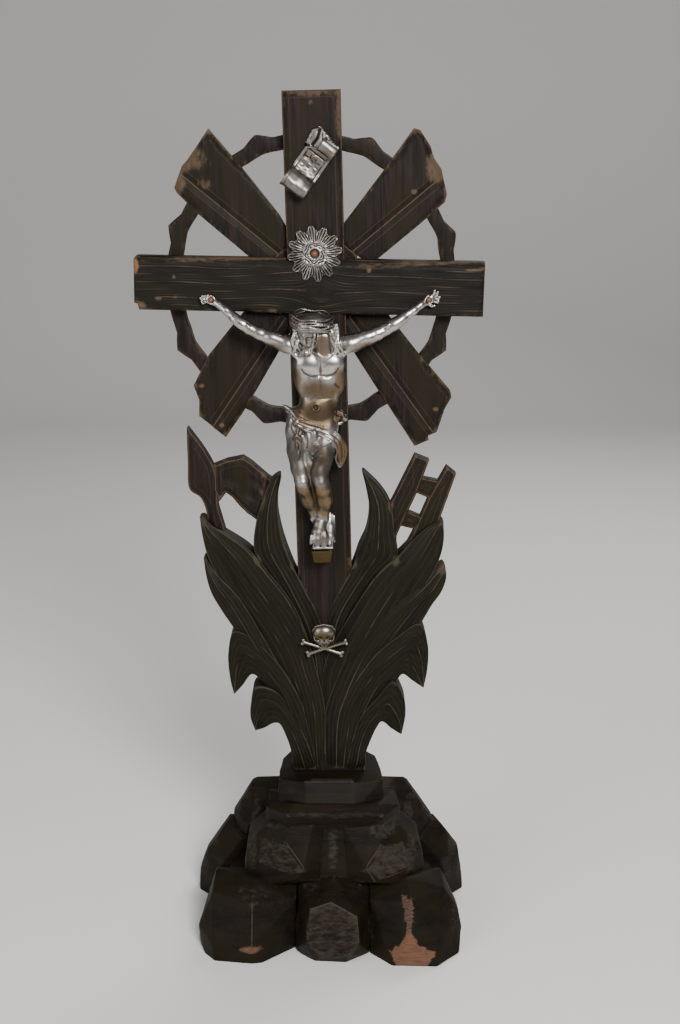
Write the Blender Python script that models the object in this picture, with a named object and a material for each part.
"""A standing wooden cross on a base of carved rocks, with a metal figure, scroll, rosette and skull.

Metres, +Z up, the front faces -Y. The origin is on the base's underside, in its middle.
The cross has a frame of its own: u runs across it, y is its depth and v runs up it from
the rock collar, and it leans a little to the viewer's left in the collar.
"""

import math

import bmesh
import bpy
import numpy as np
from mathutils import Matrix, Vector

MM = 0.001

# Places and fits
COLLAR_TOP = 0.100
FOOT_X = 0.0005
LEAN = math.radians(1.4)
GAP = 0.0003

# Carved board: upright, rays, ring and leaves are one plank with upright grain
BOARD_BACK = 0.022
UPRIGHT_FRONT = 0.0060
UPRIGHT_WIDTH = 0.0320
UPRIGHT_FOOT = 0.060
UPRIGHT_TOP = 0.400
UPRIGHT_CHAMFER = 0.0022
RAY_FRONT = 0.0120
RAY_EDGE_CHAMFER = 0.0016
GROOVE_WIDTH = 0.0050
GROOVE_DEPTH = 0.0022
TENON_WIDTH = 0.0430
TENON_DEPTH = 0.0120
TENON_RISE = 0.0300

# Thorn ring
RING_CENTRE_U = -0.0030
RING_CENTRE_V = 0.2970
RING_INNER = 0.0735
RING_OUTER = 0.0815
RING_FRONT = 0.0140
THORN_HEIGHT = 0.0040
THORN_HALF_ANGLE = 6.0
THORN_ANGLES = (17.5, 65.5, 109.5, 157.0, 205.0, 249.5, 290.5, 332.0)

# Leaf bunch
BUNCH_HEIGHT = 0.1885
LEAF_SLOPE = 0.0024
LEAF_SWELL = 0.0006
LEAF_FRONT = 0.0034
LEAF_LAYER = 0.0005
LEAF_ROOT_SET_BACK = 0.0058
LEAF_TIP_FRONT = 0.0120
TOOL_FRONT = 0.0140

# Crossbeam, half lapped into the board
BEAM_LENGTH = 0.1950
BEAM_HEIGHT = 0.0302
BEAM_FRONT = 0.0045
BEAM_THICKNESS = 0.0115
BEAM_CENTRE_U = -0.0050
BEAM_CENTRE_V = 0.2957
BEAM_TILT = math.radians(2.5)
BEAM_CHAMFER = 0.0030
SLOT_OPENING = 0.010

# Metal trim
ROSETTE_U = -0.0005
ROSETTE_V = 0.3137
ROSETTE_TIP_RADIUS = 0.0154
ROSETTE_VALLEY_RADIUS = 0.0122
ROSETTE_POINTS = 12
ROSETTE_THICKNESS = 0.0012
ROSETTE_BOSS_RADIUS = 0.0058
ROSETTE_BOSS_HEIGHT = 0.0016
NAIL_RADIUS = 0.0019
NAIL_HEIGHT = 0.0011
HAND_NAIL_RADIUS = 0.0014
SCROLL_U = -0.0015
SCROLL_V = 0.3612
SCROLL_TURN = math.radians(52.0)
SCROLL_WIDTH = 0.0150
SCROLL_GAUGE = 0.0014
SCROLL_NAIL_ALONG = 0.0045
FIGURE_HEIGHT = 0.1385
FIGURE_FOOT_V = 0.1475
PALM_CLEAR = 0.0003
FOOTREST_WIDTH = 0.0120
FOOTREST_DEPTH = 0.0150
FOOTREST_HEIGHT = 0.0085
SKULL_U = -0.0014
SKULL_V = 0.0920
SKULL_HALF_WIDTH = 0.0066
BONE_LENGTH = 0.0280
BONE_RADIUS = 0.0014

# Rock base
BASE_BACK = 0.0480
UNDERSIDE_SPARE = 0.005


def clear_scene():
    for obj in list(bpy.data.objects):
        bpy.data.objects.remove(obj, do_unlink=True)


def new_collection(name, hidden=False):
    collection = bpy.data.collections.new(name)
    bpy.context.scene.collection.children.link(collection)
    collection.hide_render = hidden
    return collection


clear_scene()
CROSS = new_collection("Wooden cross")
HELPERS = new_collection("Cutters and joined shapes", hidden=True)
BOARD_SHAPES = new_collection("Shapes joined into the board", hidden=True)
ROCK_SHAPES = new_collection("Shapes joined into the base", hidden=True)
FIGURE_SHAPES = new_collection("Shapes joined into the figure", hidden=True)
BONE_SHAPES = new_collection("Shapes joined into the skull and bones", hidden=True)
FRAME = bpy.data.objects.new("cross_frame", None)
CROSS.objects.link(FRAME)
FRAME.location = (FOOT_X, 0, COLLAR_TOP)
FRAME.rotation_euler = (0, -LEAN, 0)


def material(name, colour, roughness, metallic=0.0):
    made = bpy.data.materials.new(name)
    made.use_nodes = True
    shader = made.node_tree.nodes["Principled BSDF"]
    shader.inputs["Base Color"].default_value = (*colour, 1)
    shader.inputs["Roughness"].default_value = roughness
    shader.inputs["Metallic"].default_value = metallic
    return made


DARK_WOOD = material("dark stained wood", (0.030, 0.021, 0.016), 0.55)
BEAM_WOOD = material("dark stained beam wood", (0.033, 0.023, 0.017), 0.55)
ROCK_WOOD = material("dark stained base wood", (0.036, 0.022, 0.015), 0.5)
SILVER = material("dull silver metal", (0.52, 0.49, 0.45), 0.32, 1.0)
SCROLL_SILVER = material("dull silver scroll", (0.55, 0.53, 0.50), 0.34, 1.0)
STAR_SILVER = material("dull silver rosette", (0.56, 0.54, 0.51), 0.34, 1.0)
SKULL_SILVER = material("dull silver skull", (0.50, 0.48, 0.44), 0.34, 1.0)
WARM_METAL = material("brown toned metal", (0.36, 0.25, 0.11), 0.4, 1.0)
RUST = material("rusty iron", (0.22, 0.09, 0.05), 0.75, 0.4)


def finish(name, bm, collection, finish_material=None, parent=None):
    """The bmesh as an object, with its faces turned outwards."""
    bmesh.ops.recalc_face_normals(bm, faces=bm.faces)
    mesh = bpy.data.meshes.new(name)
    bm.to_mesh(mesh)
    bm.free()
    obj = bpy.data.objects.new(name, mesh)
    collection.objects.link(obj)
    obj.parent = parent
    if collection is not CROSS:
        obj.hide_render = True
        obj.display_type = "WIRE"
    if finish_material:
        mesh.materials.append(finish_material)
    return obj


def loft(name, rings, collection, finish_material=None, parent=None, ring_closed=False):
    """A closed body through rings of equally many points, capped at both ends or run round."""
    bm = bmesh.new()
    made = [[bm.verts.new(point) for point in ring] for ring in rings]
    count = len(made[0])
    pairs = list(zip(made, made[1:]))
    if ring_closed:
        pairs.append((made[-1], made[0]))
    for low, high in pairs:
        for i in range(count):
            j = (i + 1) % count
            bm.faces.new((low[i], low[j], high[j], high[i]))
    if not ring_closed:
        bm.faces.new(made[0])
        bm.faces.new(made[-1])
    return finish(name, bm, collection, finish_material, parent)


def hull(name, points, collection, parent=None, finish_material=None):
    """The convex stone or wedge that these corners span."""
    bm = bmesh.new()
    for point in points:
        bm.verts.new(point)
    result = bmesh.ops.convex_hull(bm, input=bm.verts)
    loose = [item for item in result["geom_interior"] if isinstance(item, bmesh.types.BMVert)]
    bmesh.ops.delete(bm, geom=loose, context="VERTS")
    return finish(name, bm, collection, finish_material, parent)


def box(name, low, high, collection, parent=None, finish_material=None, chamfer=0.0):
    """A box between two corners, with a chamfer round its front face if one is given."""
    bm = bmesh.new()
    size = [b - a for a, b in zip(low, high)]
    middle = [(a + b) / 2 for a, b in zip(low, high)]
    place = Matrix.Translation(middle) @ Matrix.Diagonal((*size, 1))
    bmesh.ops.create_cube(bm, size=1.0, matrix=place)
    if chamfer:
        front = [e for e in bm.edges if all(abs(v.co.y - low[1]) < 1e-6 for v in e.verts)]
        bmesh.ops.bevel(bm, geom=front, offset=chamfer, segments=1, affect="EDGES")
    return finish(name, bm, collection, finish_material, parent)


def plate(name, outline, front, back, collection, parent=None, chamfer=0.0):
    """A flat outline in (u, v) given its thickness, its front edges taken off by the chamfer."""
    bm = bmesh.new()
    face = bm.faces.new([bm.verts.new((u, back, v)) for u, v in outline])
    pushed = bmesh.ops.extrude_face_region(bm, geom=[face])["geom"]
    moved = [item for item in pushed if isinstance(item, bmesh.types.BMVert)]
    bmesh.ops.translate(bm, verts=moved, vec=(0, front - back, 0))
    if chamfer:
        rim = [e for e in bm.edges if all(abs(v.co.y - front) < 1e-6 for v in e.verts)]
        bmesh.ops.bevel(bm, geom=rim, offset=chamfer, segments=1, affect="EDGES")
    return finish(name, bm, collection, parent=parent)


def join(obj, collection):
    joined = obj.modifiers.new("Join shapes", "BOOLEAN")
    joined.operation = "UNION"
    joined.operand_type = "COLLECTION"
    joined.collection = collection
    joined.solver = "EXACT"


def cut(obj, cutter):
    removed = obj.modifiers.new("Cut " + cutter.name, "BOOLEAN")
    removed.operation = "DIFFERENCE"
    removed.object = cutter
    removed.solver = "EXACT"


def smooth_path(points, count):
    """Points evenly spaced in parameter along a Catmull-Rom curve through the given ones."""
    given = np.asarray(points, float)
    steps = np.linalg.norm(np.diff(given, axis=0), axis=1)
    knots = np.concatenate([[0.0], np.cumsum(np.sqrt(steps))])
    slopes = np.gradient(given, knots, axis=0)
    at = np.linspace(0, knots[-1], count)
    k = np.clip(np.searchsorted(knots, at, side="right") - 1, 0, len(knots) - 2)
    span = knots[k + 1] - knots[k]
    t = ((at - knots[k]) / span)[:, None]
    span = span[:, None]
    h00 = 2 * t**3 - 3 * t**2 + 1
    h10 = t**3 - 2 * t**2 + t
    h01 = -2 * t**3 + 3 * t**2
    h11 = t**3 - t**2
    return h00 * given[k] + h10 * span * slopes[k] + h01 * given[k + 1] + h11 * span * slopes[k + 1]


# Rays: outline corners and groove line from the crossing outwards, in millimetres
RAYS = {
    "upper_left": (
        ((-12, 320), (-30, 306), (-66.6, 338), (-76, 348), (-77.3, 350.5), (-72.4, 362),
         (-69.5, 365), (-64.8, 371), (-57, 381.5), (-40.7, 362), (-20, 335)),
        ((-20, 313), (-76, 365.5)),
    ),
    "upper_right": (
        ((10, 322), (20, 334), (38, 356.3), (55.6, 379), (58.9, 378), (64.5, 369.3), (66.3, 363),
         (70.4, 357), (73.3, 343.7), (72.3, 339.4), (61, 330), (30, 306)),
        ((16.5, 308.7), (74.5, 355.0)),
    ),
    "lower_left": (
        ((-12, 276), (-42.9, 226.5), (-55.3, 209.6), (-65.5, 218.5), (-70.1, 222.5), (-69.6, 232),
         (-72.4, 240.5), (-62.8, 257.7), (-48.5, 274.2), (-38, 286)),
        ((-26, 267), (-64, 214)),
    ),
    "lower_right": (
        ((10, 274), (34.6, 233.3), (54, 201.9), (62.3, 205.1), (62, 207.8), (66.9, 209.7),
         (71.6, 223.1), (75.6, 230.1), (75, 233.5), (55.7, 257), (46.6, 269), (34, 286)),
        ((26, 266), (66, 208)),
    ),
}

# Leaves, back to front: lower and upper edge from root to tip in (u, v) millimetres
LEFT_LEAVES = {
    "leaf_left_1": (
        ((-9, 30), (-14, 80), (-21, 104), (-32, 126), (-41, 141), (-39.5, 160), (-36, 171),
         (-30, 184), (-25.6, 187.5)),
        ((-1, 30), (-3.4, 98), (-12, 118.3), (-19, 134), (-24.7, 153.2), (-26.7, 168), (-25.8, 178),
         (-24.3, 184), (-24.4, 187.2)),
    ),
    "leaf_left_2": (
        ((-16, 1), (-22, 40), (-30, 62), (-38, 80), (-56, 112), (-68.5, 138), (-71.5, 151), (-72.8, 162.5)),
        ((-2.6, 1), (-2.2, 42), (-7, 68), (-12.8, 93.2), (-21.1, 112.3), (-32.3, 128.1), (-44, 143),
         (-57, 152.5), (-66, 158), (-70.5, 163)),
    ),
    "leaf_left_3": (
        ((-19, 1), (-24, 30), (-38, 64), (-54.9, 93.8), (-62.4, 106.1), (-68, 117), (-70.6, 127),
         (-71.8, 137.5)),
        ((-7, 1), (-14, 30), (-24, 60), (-36.9, 87.4), (-50.7, 113), (-60, 124), (-66, 131),
         (-70.6, 138.2)),
    ),
    "leaf_left_4": (
        ((-21, 1), (-24, 20), (-31, 45), (-40.2, 60.5), (-45.6, 64.6), (-52, 56.8), (-57, 50.7)),
        ((-8, 1), (-12, 25), (-17.2, 48.3), (-26, 67.5), (-41.1, 86), (-55, 93), (-59.4, 79),
         (-59.3, 62), (-57.8, 51)),
    ),
    "leaf_left_5": (
        ((-22.6, 1), (-23.8, 14), (-26.2, 23.4), (-30.6, 32.6), (-34, 32.6), (-39.5, 29), (-45, 26)),
        ((-9, 1), (-13, 18), (-19.5, 35.3), (-26.3, 48.5), (-34, 56), (-43.9, 57.2), (-47.2, 46),
         (-47.9, 36), (-45.8, 26.4)),
    ),
}
RIGHT_LEAVES = {
    "leaf_right_1": (
        ((6, 30), (9, 85), (14.2, 102), (21.6, 114.3), (32.5, 128), (43, 137.5), (41.6, 150),
         (39.6, 168), (34, 178), (24.6, 188)),
        ((-2, 30), (0.4, 97), (4, 108.5), (9, 118), (16, 131), (20.5, 143), (25, 153), (26.9, 166),
         (25.6, 177), (23.2, 188)),
    ),
    "leaf_right_2": (
        ((13, 1), (22, 40), (38, 80), (54, 108), (65, 128), (69, 138), (70.6, 146), (70.6, 156.5)),
        ((-1.5, 1), (-3, 64), (1.5, 79), (12, 98), (22, 114.3), (33, 129), (44, 138), (51, 145),
         (60, 153), (69.4, 157.4)),
    ),
    "leaf_right_3": (
        ((15, 1), (21, 30), (36, 66), (56.1, 94.4), (63.4, 106.3), (69, 114), (72, 122.4), (71.6, 128.6)),
        ((-2.6, 1), (-1.9, 40), (2.6, 54.4), (10.6, 73.5), (19.9, 89), (35.1, 103.4), (53, 118),
         (64, 127.4), (70.2, 130.6)),
    ),
    "leaf_right_4": (
        ((19, 1), (23, 22), (31, 46), (41.3, 58.5), (45.2, 62.4), (51, 57.6), (57.4, 51.8)),
        ((3, 1), (5.3, 28), (8.4, 46), (16.3, 60.5), (28.7, 76.3), (43.8, 88.6), (55.5, 95),
         (60.4, 82), (60.4, 66), (58.2, 52.2)),
    ),
    "leaf_right_5": (
        ((21.4, 1), (22.2, 12.2), (24.7, 19.5), (28.6, 28), (32, 32), (38, 26.6), (43.4, 21.4)),
        ((8, 1), (10.4, 5), (13.7, 21.3), (20.1, 37.6), (31.2, 50.4), (39.4, 58.6), (45.6, 48),
         (46.7, 37), (44.4, 21.8)),
    ),
}
LEAF_STATIONS = 13
BUNCH_DRAWN_HEIGHT = 188.5
LEAF_SCALE = BUNCH_HEIGHT / BUNCH_DRAWN_HEIGHT


def leaf(name, lower, upper, layer):
    """A carved leaf: a strip between two edges, its upper edge forward and its lower edge
    sunk. It starts set back at the foot, stands forward and thins again to its tip."""
    low = smooth_path(np.asarray(lower) * LEAF_SCALE, LEAF_STATIONS)
    high = smooth_path(np.asarray(upper) * LEAF_SCALE, LEAF_STATIONS)
    t = np.linspace(0, 1, LEAF_STATIONS)
    front = LEAF_FRONT + LEAF_LAYER * layer
    front = front + (LEAF_TIP_FRONT - front) * t**4 + LEAF_ROOT_SET_BACK * (1 - t)**6
    slope = LEAF_SLOPE * np.sin(math.pi * (0.06 + 0.88 * t))
    middle = low + (high - low) * 0.6
    rings = []
    for a, m, b, y, s in zip(low, middle, high, front, slope):
        rings.append((
            (a[0], BOARD_BACK, a[1]),
            (a[0], y + s, a[1]),
            (m[0], y - LEAF_SWELL, m[1]),
            (b[0], y, b[1]),
            (b[0], BOARD_BACK, b[1]),
        ))
    loft(name, rings, BOARD_SHAPES, parent=FRAME)


def scaled(points, factor=MM):
    return [(a * factor, b * factor) for a, b in points]


def build_rays():
    for name, (outline, _) in RAYS.items():
        outline = scaled(outline)
        plate("ray_" + name, outline, RAY_FRONT, BOARD_BACK, BOARD_SHAPES, FRAME, RAY_EDGE_CHAMFER)


def groove_cutter(name, start, end):
    """A long wedge that opens a V groove along a line on a ray's face."""
    a, b = Vector(start), Vector(end)
    side = (b - a).normalized().orthogonal() * GROOVE_WIDTH / 2
    open_face = RAY_FRONT - GROOVE_DEPTH * 0.5
    points = []
    for p in (a, b):
        for q, y in ((p + side * 1.5, open_face), (p - side * 1.5, open_face), (p, RAY_FRONT + GROOVE_DEPTH)):
            points.append((q.x, y, q.y))
    return hull("groove_" + name, points, HELPERS, FRAME)


def thorn_reach(angle):
    """How far the ring stands out at an angle: a triangular thorn at each thorn angle."""
    reach = 0.0
    for thorn in THORN_ANGLES:
        away = abs((angle - thorn + 180) % 360 - 180)
        reach = max(reach, 1 - away / THORN_HALF_ANGLE)
    return THORN_HEIGHT * reach


def build_ring():
    marks = {float(a) for a in range(0, 360, 5)}
    for thorn in THORN_ANGLES:
        marks = {m for m in marks if abs(m - thorn) > THORN_HALF_ANGLE}
        marks |= {thorn - THORN_HALF_ANGLE, thorn, thorn + THORN_HALF_ANGLE}
    rings = []
    for angle in sorted(marks):
        c, s = math.cos(math.radians(angle)), math.sin(math.radians(angle))
        outer = RING_OUTER + thorn_reach(angle)
        waist = RING_OUTER - 0.0018 + thorn_reach(angle) * 0.8
        section = (
            (RING_INNER, BOARD_BACK),
            (RING_INNER, RING_FRONT + 0.001),
            (RING_INNER + 0.0015, RING_FRONT),
            (waist, RING_FRONT),
            (outer, RING_FRONT + 0.0015),
            (outer, BOARD_BACK),
        )
        rings.append([(RING_CENTRE_U + r * c, y, RING_CENTRE_V + r * s) for r, y in section])
    loft("thorn_ring", rings, BOARD_SHAPES, parent=FRAME, ring_closed=True)


# Tools among the leaves, in (u, v) millimetres
SPEAR_LEFT = (
    (-77.9, 215.5), (-78.3, 196), (-78.0, 178.6), (-72.3, 174), (-69.6, 168), (-68.2, 158), (-66, 146),
)
SPEAR_RIGHT = (
    (-77.2, 216), (-68.0, 202.1), (-63.2, 192), (-61.6, 180), (-61.8, 168.9), (-60, 160.9), (-56.4, 146),
)
SPONGE = (
    (-63.6, 193.2), (-55.2, 196.3), (-45.8, 197.9), (-40.7, 194.2), (-31.7, 185.8), (-29.5, 184.2),
    (-32, 172), (-38, 158), (-42.4, 161.6), (-45.1, 163.6), (-49, 167.9), (-53.5, 173.5), (-56.9, 176.2),
    (-61, 171), (-64, 178),
)
# Each plank of the ladder, and how far its face is sunk behind the left rail's
LADDER = {
    "ladder_left_rail": (
        ((54.3, 196.8), (62.6, 193.2), (55, 173.3), (45.4, 153.4), (43, 148), (42.6, 138), (36, 140),
         (38.5, 166), (41.5, 171.5)), 0.0,
    ),
    "ladder_right_rail": (
        ((72.8, 189.3), (78.3, 184.6), (68.7, 157.7), (62, 138), (50, 134), (48, 141), (53.5, 151.4),
         (61.7, 170.1)), 0.3,
    ),
    "ladder_top_rung": (((56, 183.4), (70, 180.0), (64, 169.2), (52, 174.8)), 1.2),
    "ladder_low_rung": (((48, 163.4), (60, 157.8), (55.5, 150.8), (43, 154.2)), 1.2),
}
SPEAR_EDGE = 0.0015
SPEAR_RIDGE = 0.0010
TOOL_CHAMFER = 0.0010


def build_tools():
    left = smooth_path(scaled(SPEAR_LEFT), 11)
    right = smooth_path(scaled(SPEAR_RIGHT), 11)
    edge = TOOL_FRONT + SPEAR_EDGE
    rings = []
    for a, b in zip(left, right):
        m = (a + b) / 2
        rings.append((
            (a[0], BOARD_BACK, a[1]),
            (a[0], edge, a[1]),
            (m[0], TOOL_FRONT - SPEAR_RIDGE, m[1]),
            (b[0], edge, b[1]),
            (b[0], BOARD_BACK, b[1]),
        ))
    loft("spear", rings, BOARD_SHAPES, parent=FRAME)
    plate("sponge", scaled(SPONGE), TOOL_FRONT, BOARD_BACK, BOARD_SHAPES, FRAME, TOOL_CHAMFER)
    for name, (outline, sunk) in LADDER.items():
        front = TOOL_FRONT + sunk * MM
        plate(name, scaled(outline), front, BOARD_BACK, BOARD_SHAPES, FRAME, TOOL_CHAMFER * 0.6)


def beam_matrix():
    place = Matrix.Translation((BEAM_CENTRE_U, 0, BEAM_CENTRE_V))
    return place @ Matrix.Rotation(BEAM_TILT, 4, "Y")


def build_board():
    half = UPRIGHT_WIDTH / 2
    low = (-half, UPRIGHT_FRONT, UPRIGHT_FOOT)
    high = (half, BOARD_BACK, UPRIGHT_TOP)
    board = box("carved_board", low, high, CROSS, FRAME, DARK_WOOD, UPRIGHT_CHAMFER)
    build_rays()
    build_ring()
    for leaves in (LEFT_LEAVES, RIGHT_LEAVES):
        for place, (name, (lower, upper)) in enumerate(leaves.items()):
            leaf(name, lower, upper, len(leaves) - 1 - place)
    build_tools()
    low = (-TENON_WIDTH / 2, LEAF_FRONT + LEAF_ROOT_SET_BACK, -TENON_DEPTH)
    high = (TENON_WIDTH / 2, BOARD_BACK, TENON_RISE)
    box("board_foot", low, high, BOARD_SHAPES, FRAME)
    join(board, BOARD_SHAPES)
    for name, (_, groove) in RAYS.items():
        cut(board, groove_cutter(name, *scaled(groove)))
    reach = BEAM_LENGTH / 2 + GAP
    rise = BEAM_HEIGHT / 2 + GAP
    low = (-reach, BEAM_FRONT - SLOT_OPENING, -rise)
    high = (reach, BEAM_FRONT + BEAM_THICKNESS + GAP, rise)
    slot = box("beam_slot", low, high, HELPERS, FRAME)
    slot.matrix_local = beam_matrix()
    cut(board, slot)


def build_beam():
    low = (-BEAM_LENGTH / 2, BEAM_FRONT, -BEAM_HEIGHT / 2)
    high = (BEAM_LENGTH / 2, BEAM_FRONT + BEAM_THICKNESS, BEAM_HEIGHT / 2)
    beam = box("crossbeam", low, high, CROSS, FRAME, BEAM_WOOD, BEAM_CHAMFER)
    beam.matrix_local = beam_matrix()


def disc(u, v, y, radius, sides):
    """A level ring of points round a place on the cross."""
    turns = [2 * math.pi * i / sides for i in range(sides)]
    return [(u + radius * math.cos(turn), y, v + radius * math.sin(turn)) for turn in turns]


ROSETTE_SIDES = ROSETTE_POINTS * 4
ROSETTE_RIM = 0.0005
ROSETTE_FIELD_SHARE = 0.45
ROSETTE_STEP = 0.0002


def build_rosette():
    """A thin star of twelve rounded points, with a raised round boss."""
    back = BEAM_FRONT - GAP
    front = back - ROSETTE_THICKNESS
    rings = []
    for y in (back, back - ROSETTE_RIM):
        ring = []
        for i in range(ROSETTE_SIDES):
            turn = 2 * math.pi * i / ROSETTE_SIDES
            share = abs((i % 4) - 2) / 2
            radius = ROSETTE_VALLEY_RADIUS + (ROSETTE_TIP_RADIUS - ROSETTE_VALLEY_RADIUS) * share
            ring.append((ROSETTE_U + radius * math.cos(turn), y, ROSETTE_V + radius * math.sin(turn)))
        rings.append(ring)
    field = ROSETTE_TIP_RADIUS * ROSETTE_FIELD_SHARE
    rings.append(disc(ROSETTE_U, ROSETTE_V, front, field, ROSETTE_SIDES))
    step = front - ROSETTE_STEP
    rings.append(disc(ROSETTE_U, ROSETTE_V, step, ROSETTE_BOSS_RADIUS, ROSETTE_SIDES))
    for share, height in ((0.94, 0.6), (0.7, 1.0), (0.42, 0.9)):
        y = step - ROSETTE_BOSS_HEIGHT * height
        rings.append(disc(ROSETTE_U, ROSETTE_V, y, ROSETTE_BOSS_RADIUS * share, ROSETTE_SIDES))
    loft("rosette", rings, CROSS, STAR_SILVER, FRAME)


def nail(name, u, v, back, radius, height):
    """A small domed nail head against the metal."""
    domes = ((1.0, 0.0), (1.0, 0.45), (0.8, 0.85), (0.4, 1.0))
    rings = [disc(u, v, back - height * rise, radius * share, 12) for share, rise in domes]
    loft(name, rings, CROSS, RUST, FRAME)


# The ribbon's run in millimetres: along its length, and its height off the wood
SCROLL_RUN = (
    (-11.6, 5.6), (-12.6, 3.2), (-15.4, 2.8), (-17.0, 5.2), (-15.8, 8.2), (-12.6, 9.2), (-9.4, 7.6),
    (-6.6, 3.6), (-2.0, 2.2), (3.0, 2.6), (7.6, 4.6), (11.0, 7.4), (14.4, 7.0), (15.6, 4.0), (13.4, 1.8),
)


def scroll_frame(along, across, off, back):
    c, s = math.cos(SCROLL_TURN), math.sin(SCROLL_TURN)
    return (SCROLL_U + along * c + across * s, back - off, SCROLL_V + along * s - across * c)


def build_scroll():
    """A ribbon with rolled ends, an even strip carried along its run."""
    back = UPRIGHT_FRONT - GAP
    run = smooth_path(np.asarray(SCROLL_RUN) * MM, 27)
    ahead = np.gradient(run, axis=0)
    ahead /= np.linalg.norm(ahead, axis=1)[:, None]
    normal = np.stack([-ahead[:, 1], ahead[:, 0]], -1)
    rings = []
    for p, n in zip(run, normal):
        high, low = p + n * SCROLL_GAUGE / 2, p - n * SCROLL_GAUGE / 2
        half = SCROLL_WIDTH / 2
        rings.append((
            scroll_frame(low[0], -half, low[1], back), scroll_frame(high[0], -half, high[1], back),
            scroll_frame(high[0], half, high[1], back), scroll_frame(low[0], half, low[1], back),
        ))
    loft("scroll", rings, CROSS, SCROLL_SILVER, FRAME)


# The figure, as shares of its height from the soles: middle (u, y, v), half width, half depth
FIGURE_U = -0.0010
FIGURE_Y = -0.0040
PALMS = {"left": (-0.4166, 0.043, 1.029), "right": (0.4563, 0.043, 1.0072)}
TORSO = (
    (0.010, -0.002, 0.885, 0.032, 0.032), (0.010, 0.006, 0.860, 0.045, 0.040),
    (0.008, 0.004, 0.830, 0.098, 0.050),
    (0.009, -0.006, 0.785, 0.106, 0.058), (0.007, -0.012, 0.735, 0.100, 0.058),
    (0.004, 0.000, 0.680, 0.083, 0.047),
    (0.002, 0.004, 0.625, 0.077, 0.044), (0.000, 0.002, 0.580, 0.082, 0.048),
    (-0.004, 0.004, 0.535, 0.098, 0.052),
    (-0.010, 0.000, 0.470, 0.096, 0.052), (-0.020, -0.004, 0.430, 0.070, 0.045),
)
ARM_LEFT = (
    (-0.070, 0.000, 0.838, 0.042, 0.040), (-0.115, 0.000, 0.850, 0.037, 0.036),
    (-0.170, 0.002, 0.868, 0.030, 0.030),
    (-0.225, 0.006, 0.890, 0.026, 0.026), (-0.262, 0.008, 0.912, 0.025, 0.025),
    (-0.305, 0.014, 0.950, 0.022, 0.021),
    (-0.355, 0.030, 0.992, 0.016, 0.014), (-0.385, 0.046, 1.014, 0.016, 0.012),
    (-0.415, 0.056, 1.030, 0.022, 0.010),
    (-0.440, 0.058, 1.040, 0.022, 0.009), (-0.468, 0.056, 1.048, 0.010, 0.007),
)
ARM_RIGHT = (
    (0.085, 0.000, 0.838, 0.042, 0.040), (0.130, 0.000, 0.846, 0.037, 0.036),
    (0.185, 0.002, 0.862, 0.030, 0.030),
    (0.240, 0.006, 0.880, 0.026, 0.026), (0.278, 0.008, 0.900, 0.025, 0.025),
    (0.322, 0.014, 0.930, 0.022, 0.021),
    (0.378, 0.030, 0.968, 0.016, 0.014), (0.408, 0.046, 0.990, 0.016, 0.012),
    (0.440, 0.056, 1.006, 0.022, 0.010),
    (0.466, 0.058, 1.018, 0.022, 0.009), (0.492, 0.056, 1.028, 0.010, 0.007),
)
LEG_LEFT = (
    (-0.055, 0.000, 0.520, 0.052, 0.052), (-0.080, -0.012, 0.440, 0.055, 0.053),
    (-0.085, -0.032, 0.370, 0.047, 0.046),
    (-0.076, -0.048, 0.300, 0.036, 0.036), (-0.070, -0.046, 0.275, 0.033, 0.034),
    (-0.052, -0.022, 0.215, 0.031, 0.033),
    (-0.032, 0.006, 0.140, 0.021, 0.023), (-0.026, 0.010, 0.110, 0.022, 0.024),
)
LEG_RIGHT = (
    (0.045, 0.000, 0.500, 0.050, 0.052), (0.024, -0.022, 0.420, 0.054, 0.052),
    (0.008, -0.050, 0.350, 0.045, 0.046),
    (0.006, -0.072, 0.285, 0.037, 0.036), (0.012, -0.064, 0.245, 0.034, 0.034),
    (0.016, -0.036, 0.195, 0.030, 0.032),
    (0.006, -0.006, 0.135, 0.021, 0.023), (0.000, -0.002, 0.105, 0.024, 0.024),
)
FOOT_BACK = (
    (-0.020, 0.034, 0.128, 0.020, 0.020), (0.010, 0.026, 0.100, 0.024, 0.020),
    (0.034, 0.006, 0.060, 0.024, 0.018),
    (0.040, -0.012, 0.022, 0.022, 0.014), (0.040, -0.018, 0.004, 0.014, 0.008),
)
FOOT_FRONT = (
    (0.004, 0.000, 0.135, 0.022, 0.022), (-0.008, -0.014, 0.100, 0.026, 0.020),
    (-0.018, -0.030, 0.060, 0.028, 0.018),
    (-0.024, -0.040, 0.022, 0.027, 0.014), (-0.024, -0.044, 0.004, 0.018, 0.008),
)
LOIN_CLOTH = (
    (-0.004, 0.000, 0.580, 0.092, 0.060), (-0.008, -0.002, 0.555, 0.116, 0.070),
    (-0.012, -0.006, 0.500, 0.118, 0.072),
    (-0.018, -0.012, 0.440, 0.116, 0.070), (-0.024, -0.018, 0.400, 0.106, 0.064),
    (-0.026, -0.020, 0.385, 0.086, 0.052),
)
CLOTH_END = (
    (0.118, 0.004, 0.585, 0.030, 0.026), (0.128, 0.004, 0.545, 0.030, 0.028),
    (0.116, 0.006, 0.490, 0.024, 0.024),
    (0.122, 0.008, 0.430, 0.024, 0.022), (0.112, 0.010, 0.370, 0.024, 0.020),
    (0.104, 0.012, 0.335, 0.014, 0.012),
)
CLOTH_FLARE = (
    (-0.070, -0.010, 0.560, 0.040, 0.040), (-0.110, 0.000, 0.582, 0.024, 0.030),
    (-0.142, 0.006, 0.590, 0.010, 0.018),
)
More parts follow.
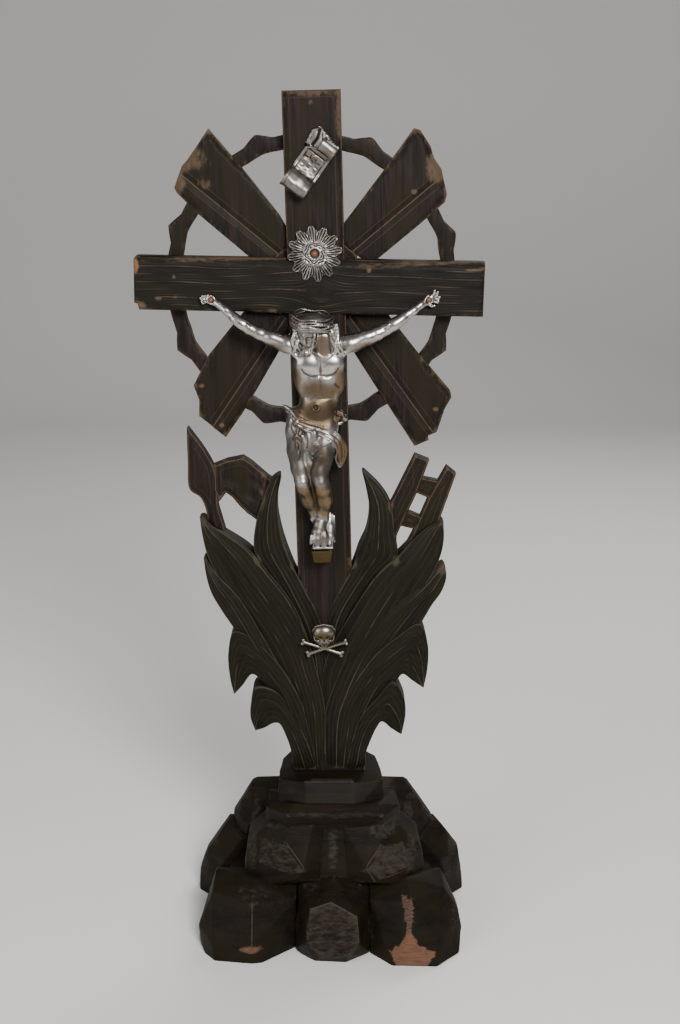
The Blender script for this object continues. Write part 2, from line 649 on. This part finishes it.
HEAD = (
    (-0.026, -0.078, 0.868, 0.010, 0.012), (-0.020, -0.078, 0.885, 0.026, 0.030),
    (-0.014, -0.072, 0.915, 0.042, 0.046),
    (-0.006, -0.064, 0.950, 0.050, 0.054), (0.002, -0.056, 0.980, 0.044, 0.048),
    (0.006, -0.050, 1.000, 0.022, 0.026),
)
HAIR = (
    (-0.020, -0.024, 0.835, 0.070, 0.026), (-0.014, -0.028, 0.868, 0.080, 0.040),
    (-0.010, -0.036, 0.910, 0.074, 0.054),
    (-0.006, -0.040, 0.950, 0.070, 0.058), (0.002, -0.038, 0.985, 0.052, 0.050),
    (0.004, -0.036, 1.004, 0.028, 0.028),
)
CROWN = (
    (-0.004, -0.054, 0.944, 0.076, 0.066), (-0.002, -0.052, 0.955, 0.086, 0.076),
    (0.000, -0.050, 0.968, 0.086, 0.076),
    (0.002, -0.048, 0.980, 0.074, 0.064),
)


def limb(name, stations, sides=10, level=False):
    """Oval sections carried along a line of middles, square to it, or level where it is so said."""
    data = np.asarray(stations, float) * FIGURE_HEIGHT
    middle = data[:, :3] + np.array([FIGURE_U, FIGURE_Y, FIGURE_FOOT_V])
    ahead = np.gradient(middle, axis=0)
    if level:
        ahead = np.tile(np.array([0.0, 0.0, 1.0]), (len(middle), 1))
    ahead /= np.linalg.norm(ahead, axis=1)[:, None]
    depth = np.tile(np.array([0.0, 1.0, 0.0]), (len(middle), 1))
    depth -= ahead * (depth * ahead).sum(1)[:, None]
    depth /= np.linalg.norm(depth, axis=1)[:, None]
    width = np.cross(ahead, depth)
    turn = np.linspace(0, 2 * math.pi, sides, endpoint=False)
    rings = (
        middle[:, None]
        + width[:, None] * (data[:, 3, None] * np.cos(turn))[..., None]
        + depth[:, None] * (data[:, 4, None] * np.sin(turn))[..., None]
    )
    return [[tuple(point) for point in ring] for ring in rings]


def build_figure():
    figure = loft("corpus", limb("torso", TORSO, 14, level=True), CROSS, SILVER, FRAME)
    shapes = {
        "arm_left": (ARM_LEFT, 8, False), "arm_right": (ARM_RIGHT, 8, False),
        "leg_left": (LEG_LEFT, 10, False), "leg_right": (LEG_RIGHT, 10, False),
        "foot_back": (FOOT_BACK, 8, False), "foot_front": (FOOT_FRONT, 8, False),
        "loin_cloth": (LOIN_CLOTH, 16, True), "cloth_end": (CLOTH_END, 8, True),
        "cloth_flare": (CLOTH_FLARE, 8, False), "head": (HEAD, 12, True),
        "hair": (HAIR, 12, True), "crown": (CROWN, 14, True),
    }
    for name, (stations, sides, level) in shapes.items():
        loft(name, limb(name, stations, sides, level), FIGURE_SHAPES, parent=FRAME)
    join(figure, FIGURE_SHAPES)
    far = 0.2
    low = (-far, BEAM_FRONT - PALM_CLEAR, 0)
    wall = box("beam_face", low, (far, far, UPRIGHT_TOP), HELPERS, FRAME)
    cut(figure, wall)


FOOTREST_TOP = FIGURE_FOOT_V - GAP - 0.0008
FOOTREST_RAKE = 0.002


def build_footrest():
    """A small block under the soles, narrowing downwards."""
    back = UPRIGHT_FRONT - GAP
    front = back - FOOTREST_DEPTH
    low = FOOTREST_TOP - FOOTREST_HEIGHT
    points = []
    for share, y, v in (
        (1.0, back, FOOTREST_TOP),
        (1.0, front - FOOTREST_RAKE, FOOTREST_TOP),
        (0.8, back, low),
        (0.8, front + FOOTREST_RAKE, low),
    ):
        for side in (-1, 1):
            points.append((FIGURE_U + side * FOOTREST_WIDTH / 2 * share, y, v))
    hull("footrest", points, CROSS, FRAME, WARM_METAL)


SKULL_BACK = LEAF_FRONT - 0.0012
# Each ring of the skull: share of its half width, and height from its middle
SKULL_RINGS = (
    (0.34, -1.15), (0.52, -0.86), (0.62, -0.40), (0.92, -0.10), (1.0, 0.25), (0.86, 0.65), (0.5, 0.92),
)
BONE_ANGLE = math.radians(22)
# Each ring of a bone: share of its half length, and share of its radius
BONE_RINGS = (
    (-1.0, 0.7), (-0.94, 1.7), (-0.84, 1.6), (-0.72, 1.0), (0.72, 1.0), (0.84, 1.6), (0.94, 1.7), (1.0, 0.7),
)


def build_skull():
    """A small skull over two crossed bones, flat behind."""
    half = SKULL_HALF_WIDTH
    rings = []
    for share, rise in SKULL_RINGS:
        ring = []
        for i in range(14):
            turn = 2 * math.pi * i / 14
            y = SKULL_BACK - half * 0.35 + half * share * 0.8 * math.sin(turn)
            ring.append((SKULL_U + half * share * math.cos(turn), y, SKULL_V + half * rise))
        rings.append(ring)
    skull = loft("skull_and_crossbones", rings, CROSS, SKULL_SILVER, FRAME)
    for name, side in (("bone_rising", 1), ("bone_falling", -1)):
        along = Vector((math.cos(BONE_ANGLE) * side, 0, math.sin(BONE_ANGLE)))
        middle = Vector((SKULL_U, SKULL_BACK - BONE_RADIUS * 0.9, SKULL_V - half * 1.25))
        across = Vector((-along.z, 0, along.x))
        rings = []
        for share, size in BONE_RINGS:
            centre = middle + along * (BONE_LENGTH / 2 * share)
            ring = []
            for i in range(8):
                turn = 2 * math.pi * i / 8
                deep = Vector((0, BONE_RADIUS * min(size, 1.1) * math.sin(turn), 0))
                ring.append(tuple(centre + across * (BONE_RADIUS * size * math.cos(turn)) + deep))
            rings.append(ring)
        loft(name, rings, BONE_SHAPES, parent=FRAME)
    join(skull, BONE_SHAPES)
    behind = 0.02
    reach = 0.05
    low = (-reach, SKULL_BACK, 0)
    flat = box("skull_back_plane", low, (reach, SKULL_BACK + behind, 4 * reach), HELPERS, FRAME)
    cut(skull, flat)


# Rocks of the base: corners in millimetres, and where they meet the ground they run on below it
GROUND = -UNDERSIDE_SPARE / MM
ROCKS = {
    "front_rock_left": (
        (-79, -24, 0), (-75.4, -34, 0), (-69, -42, 0), (-46, -45, 0), (-40, -44, 0), (-28, -34, 0),
        (-21, -28, 0), (-80, -24, 13), (-46, -47, 13), (-22, -30, 14), (-70, -41, 10), (-29, -36, 10),
        (-71, -22, 35), (-46, -38, 36), (-20, -27, 32), (-45, -25, 45), (-70, -6, 42), (-20, -6, 42),
        (-77, -8, 0), (-20, -8, 0), (-78, -8, 16),
    ),
    "front_rock_middle": (
        (-21, -29, 0), (-18, -34, 0), (-9, -42, 0), (10, -43.4, 0), (15.3, -39, 0), (24.5, -33, 0),
        (1, -40, 38), (16.4, -42, 29.5), (17.6, -46, 14.5), (12.5, -47.6, 7), (-4.4, -47.6, 7),
        (-13.6, -46, 14.5), (-13.9, -44, 22.4), (-11.4, -41, 34), (-21, -30, 16), (24.5, -31, 16),
        (-19, -26, 32), (24, -26, 32), (3, -24, 47), (-20, -6, 42), (24, -6, 42), (-20, -6, 0), (24, -6, 0),
    ),
    "front_rock_right": (
        (24.5, -34, 0), (29, -36, 0), (37.3, -47, 0), (64, -48, 0), (78.3, -34, 0), (80, -20, 0),
        (47.6, -48, 19), (36, -42, 12), (66, -43, 12), (80.5, -24, 12), (24.5, -31, 14),
        (48.5, -39, 37), (78.5, -22, 23), (73.5, -22, 31), (69.5, -22, 37), (24, -27, 32), (47, -25, 46),
        (24, -6, 42), (68, -6, 42), (78, -6, 20), (24, -6, 0), (78, -6, 0),
    ),
    "upper_rock_left": (
        (-26, -22, 67.4), (-15.3, -29, 54.8), (-41, -16, 59.4), (-41, -21, 47), (-43, -18, 53),
        (-19.5, -27, 46), (-21.3, -20, 73.6), (-10.5, -19, 77.7), (-1.6, -17, 66.6), (-4.6, -22, 54.7),
        (-6.9, -24, 51.8), (-23.8, -16, 78.1), (-37.5, -10, 73.5), (3, -12, 70), (3, -14, 50),
        (-6, -23, 42), (-50.5, -6, 58), (-52.5, -6, 47), (-44, -8, 63), (-28, -6, 80), (3, -4, 80),
        (-50, 14, 62), (-30, 14, 80), (3, 14, 80), (-52, -12, 38), (-52, 14, 38), (3, 14, 38),
        (3, -12, 38), (-40, -22, 38),
    ),
    "upper_rock_right": (
        (31, -22, 66.4), (21.8, -29, 54.7), (44.3, -17, 58), (48, -21, 50), (27.5, -27, 44),
        (25.5, -19, 77.1), (9.3, -18, 75.2), (5.1, -17, 59.9), (12.3, -23, 52.6), (9, -23, 42),
        (33.7, -8, 78.5), (43, -8, 71), (3, -12, 70), (3, -14, 50), (55.5, -6, 58), (58, -6, 48),
        (3, -4, 80), (34, -4, 80), (54, 14, 62), (34, 14, 80), (3, 14, 80), (57, -12, 38),
        (57, 14, 38), (3, 14, 38), (3, -12, 38), (46, -22, 38),
    ),
    "rear_rock_low_left": (
        (-86, 48, 0), (-86, 38, 0), (-76, 28, 0), (-85.6, 40, 14), (-85.6, 48, 14), (-80.5, 40, 28),
        (-80.5, 48, 28), (-66, 40, 50), (-66, 48, 50), (-75, 27, 14), (-69, 26, 27), (-57, 26, 44),
        (-30, 26, 46), (-30, 48, 50), (-30, 26, 0), (-30, 48, 0),
    ),
    "rear_rock_high_left": (
        (-63, 40, 54), (-63, 48, 54), (-50.5, 41, 75), (-50.5, 48, 75), (-47, 46, 77.5), (-54, 26, 47),
        (-52, 25, 54), (-44, 25, 66), (-20, 48, 77.5), (-20, 25, 66), (-20, 25, 40), (-20, 48, 40),
        (-60, 34, 46), (-60, 48, 46),
    ),
    "rear_rock_low_right": (
        (87, 48, 0), (87, 40, 0), (76, 29, 0), (86.6, 41, 9), (86.6, 48, 9), (83.4, 40, 29),
        (83.4, 48, 29), (72, 40, 47), (67, 40, 50), (67, 48, 50), (76, 27, 12), (71, 26, 28),
        (58, 26, 44), (30, 26, 46), (30, 48, 50), (30, 26, 0), (30, 48, 0),
    ),
    "rear_rock_high_right": (
        (66, 40, 51), (66, 48, 51), (50, 41, 75), (50, 48, 75), (47.5, 46, 77.5), (56, 26, 47),
        (54, 25, 54), (45, 25, 66), (20, 48, 77.5), (20, 25, 66), (20, 25, 40), (20, 48, 40),
        (62, 34, 46), (62, 48, 46),
    ),
    "ledge": (
        (-25, -20, 84.5), (32, -20, 84.5), (-22, -14, 89.5), (29, -14, 89.5), (-39, -6, 83), (43, -6, 84.5),
        (-37, 10, 87), (40, 10, 87), (-26, -12, 55), (32, -12, 55), (-38, 0, 55), (42, 0, 55),
        (-38, 10, 55), (42, 10, 55),
    ),
    "saddle": (
        (-4, -16, 79), (9, -16, 79), (-2.5, -18, 60), (6.5, -18, 60), (-6, -24, 45), (11, -24, 45),
        (-4, 0, 79), (9, 0, 79), (-6, -16, 30), (11, -16, 30), (-6, 0, 30), (11, 0, 30),
    ),
    "side_rock_left": (
        (-74, -14, 0), (-76, 2, 0), (-74, 20, 0), (-68, 32, 0), (-73, -12, 9), (-75, 2, 10), (-73, 20, 12),
        (-66, 30, 14), (-64, -12, 22), (-64, 4, 26), (-62, 24, 30), (-40, -12, 34), (-40, 30, 42),
        (-40, -12, 0), (-40, 32, 0),
    ),
    "side_rock_right": (
        (75, -14, 0), (77, 2, 0), (75, 20, 0), (69, 32, 0), (74, -12, 9), (76, 2, 10), (74, 20, 12),
        (67, 30, 14), (65, -12, 22), (65, 4, 26), (63, 24, 30), (40, -12, 34), (40, 30, 42),
        (40, -12, 0), (40, 32, 0),
    ),
    "heart": (
        (-36, 4, 20), (36, 4, 20), (-36, 47, 20), (36, 47, 20), (-36, 4, 66), (36, 4, 66), (-36, 47, 66),
        (36, 47, 66),
    ),
}
COLLAR_PLAN = (
    (-15, -7.6), (14.5, -7.6), (32.5, -2), (31.5, 13), (28.5, 30), (22, 38), (-24.5, 38), (-29.6, 26),
    (-31, 10), (-31, -2),
)
# The collar's height, and how far it spreads at its sides and comes forward there
COLLAR_STEPS = ((100, 0.0, 0.0), (90, 0.3, 5.7), (84, 0.6, 9.0), (60, 1.0, 4.0))
COLLAR_FRONT_Y = -5
COLLAR_SHARE_Y = 0
CORE_LOW = (-50, -12, GROUND)
CORE_HIGH = (54, BASE_BACK / MM, 46)
MORTISE_TOP = 0.020
GROUND_REACH = 0.15


def build_base():
    core = box("rock_base", [a * MM for a in CORE_LOW], [a * MM for a in CORE_HIGH], CROSS, None, ROCK_WOOD)
    for name, corners in ROCKS.items():
        points = [(x * MM, y * MM, (z if z > 0 else GROUND) * MM) for x, y, z in corners]
        hull(name, points, ROCK_SHAPES)
    rings = []
    for z, spread, forward in COLLAR_STEPS:
        ring = []
        for x, y in COLLAR_PLAN:
            grow = spread if y > COLLAR_FRONT_Y else 0.0
            front = forward if y < COLLAR_FRONT_Y else forward / 2 if y < COLLAR_SHARE_Y else 0.0
            ring.append(((x + math.copysign(grow, x)) * MM, (y - front) * MM, z * MM))
        rings.append(ring)
    loft("collar", rings, ROCK_SHAPES)
    join(core, ROCK_SHAPES)
    low = (-TENON_WIDTH / 2 - GAP, LEAF_FRONT + LEAF_ROOT_SET_BACK - GAP, -TENON_DEPTH - GAP)
    high = (TENON_WIDTH / 2 + GAP, BOARD_BACK + GAP, MORTISE_TOP)
    cut(core, box("mortise", low, high, HELPERS, FRAME))
    low = (-GROUND_REACH, -GROUND_REACH, -GROUND_REACH)
    high = (GROUND_REACH, GROUND_REACH, 0)
    cut(core, box("ground_cut", low, high, HELPERS))


def main():
    build_base()
    build_board()
    build_beam()
    build_rosette()
    boss_front = BEAM_FRONT - GAP - ROSETTE_THICKNESS - ROSETTE_BOSS_HEIGHT - 2 * GAP
    nail("rosette_nail", ROSETTE_U, ROSETTE_V, boss_front, NAIL_RADIUS, NAIL_HEIGHT)
    for side, (across, front, rise) in PALMS.items():
        u = FIGURE_U + across * FIGURE_HEIGHT
        v = FIGURE_FOOT_V + rise * FIGURE_HEIGHT
        y = FIGURE_Y + front * FIGURE_HEIGHT - GAP
        nail("hand_nail_" + side, u, v, y, HAND_NAIL_RADIUS, NAIL_HEIGHT)
    build_scroll()
    build_figure()
    build_footrest()
    build_skull()


main()
